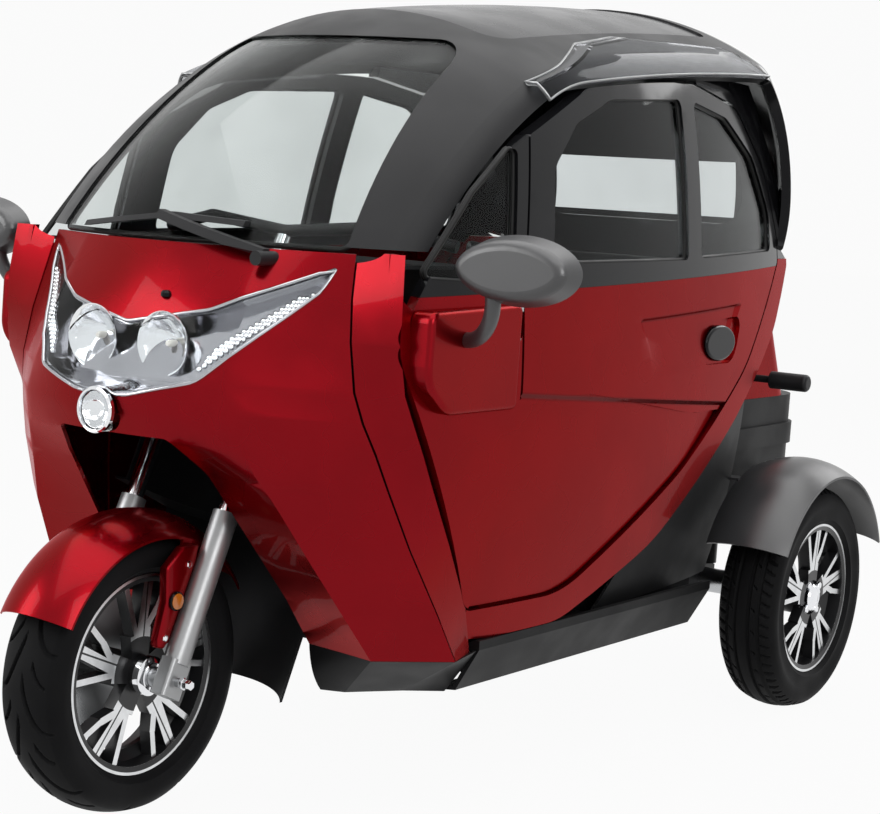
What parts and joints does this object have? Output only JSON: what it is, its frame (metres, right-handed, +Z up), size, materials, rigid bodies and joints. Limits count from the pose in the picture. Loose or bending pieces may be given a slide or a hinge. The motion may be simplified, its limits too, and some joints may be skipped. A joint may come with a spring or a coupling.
{
  "type": "three_wheeled_cabin_car",
  "caption": "Small enclosed three wheeled cabin car with one steered front wheel, two opening side doors, a curved windscreen and fenders over its rear wheels.",
  "frame": {"origin": "on the ground, under the middle of the car's bounding box", "axes": "+Y to the rear, +X to the car's left, +Z up"},
  "size_m": [1.424, 2.2125, 1.4858],
  "materials": {
    "red_paint": "candy red gloss paint",
    "gloss_black": "gloss black",
    "matte_black": "textured black plastic",
    "dark_roof": "satin black",
    "tinted_glass": "tinted",
    "clear_glass": "lightly tinted",
    "lamp_lens": "clear",
    "lamp_red": "red lens",
    "bright_trim": "polished",
    "silver_cast": "cast and painted silver",
    "steel": "plain steel",
    "black_steel": "black powder coat",
    "tyre_rubber": "black rubber",
    "alloy": "black with machined faces",
    "seat_vinyl": "black vinyl",
    "smoked_plastic": "smoked clear"
  },
  "bodies": {
    "body": {"battery_pack": "matte_black", "chassis_frame": "black_steel", "dashboard": "matte_black", "floor_pan": "matte_black", "front_side_panel": "red_paint", "headlamp_housing": "bright_trim", "headlamp_lens": "lamp_lens", "hinge_pins": "steel", "inner_guard": "matte_black", "lower_guard": "matte_black", "lower_lamp": "lamp_lens", "mirror": "matte_black", "nose_panel": "red_paint", "plate_holder": "matte_black", "quarter_frame": "gloss_black", "quarter_glass": "tinted_glass", "quarter_panel": "red_paint", "rain_visor": "smoked_plastic", "rear_axle": "steel", "rear_body": "matte_black", "rear_fender": "matte_black", "rear_panel": "red_paint", "rear_screen": "tinted_glass", "rear_shell": "gloss_black", "rear_signal": "matte_black", "rear_suspension": "black_steel", "roof_panel": "dark_roof", "roof_shell": "matte_black", "seat_back": "seat_vinyl", "seat_base": "matte_black", "seat_cushion": "seat_vinyl", "side_frame": "gloss_black", "side_hoop": "red_paint", "sill": "matte_black", "tail_lamp": "lamp_red", "windscreen": "clear_glass", "wiper": "matte_black"},
    "steering": {"brake_caliper": "silver_cast", "fork": "bright_trim", "fork_sliders": "silver_cast", "front_axle": "steel", "front_fender": "red_paint", "handlebar": "black_steel"},
    "front_wheel": {"brake_disc": "steel", "front_rim": "alloy", "front_tyre": "tyre_rubber"},
    "rear_wheel_left": {"rear_rim_left": "alloy", "rear_tyre_left": "tyre_rubber"},
    "rear_wheel_right": {"rear_rim_right": "alloy", "rear_tyre_right": "tyre_rubber"},
    "left_door": {"door_frame_left": "gloss_black", "door_glass_left": "tinted_glass", "door_handle_left": "gloss_black", "door_panel_left": "red_paint", "hinge_knuckles_left": "steel"},
    "right_door": {"door_frame_right": "gloss_black", "door_glass_right": "tinted_glass", "door_handle_right": "gloss_black", "door_panel_right": "red_paint", "hinge_knuckles_right": "steel"}
  },
  "joints": [
    {"name": "steer", "type": "hinge", "parent": "body", "child": "steering", "pos_m": [0, -0.833, 0.22948], "axis": [0, 0.4226, 0.9063], "range_deg": [-35, 35]},
    {"name": "front_wheel_spin", "type": "hinge", "parent": "steering", "child": "front_wheel", "pos_m": [0, -0.862, 0.243], "axis": [1, 0, 0], "continuous": true},
    {"name": "rear_left_spin", "type": "hinge", "parent": "body", "child": "rear_wheel_left", "pos_m": [0.49, 0.749, 0.247], "axis": [1, 0, 0], "continuous": true},
    {"name": "rear_right_spin", "type": "hinge", "parent": "body", "child": "rear_wheel_right", "pos_m": [-0.49, 0.749, 0.247], "axis": [1, 0, 0], "continuous": true},
    {"name": "left_door_swing", "type": "hinge", "parent": "body", "child": "left_door", "pos_m": [0.47, -0.442, 0.67], "axis": [0, 0, -1], "range_deg": [0, 65]},
    {"name": "right_door_swing", "type": "hinge", "parent": "body", "child": "right_door", "pos_m": [-0.47, -0.442, 0.67], "axis": [0, 0, 1], "range_deg": [0, 65]}
  ]
}
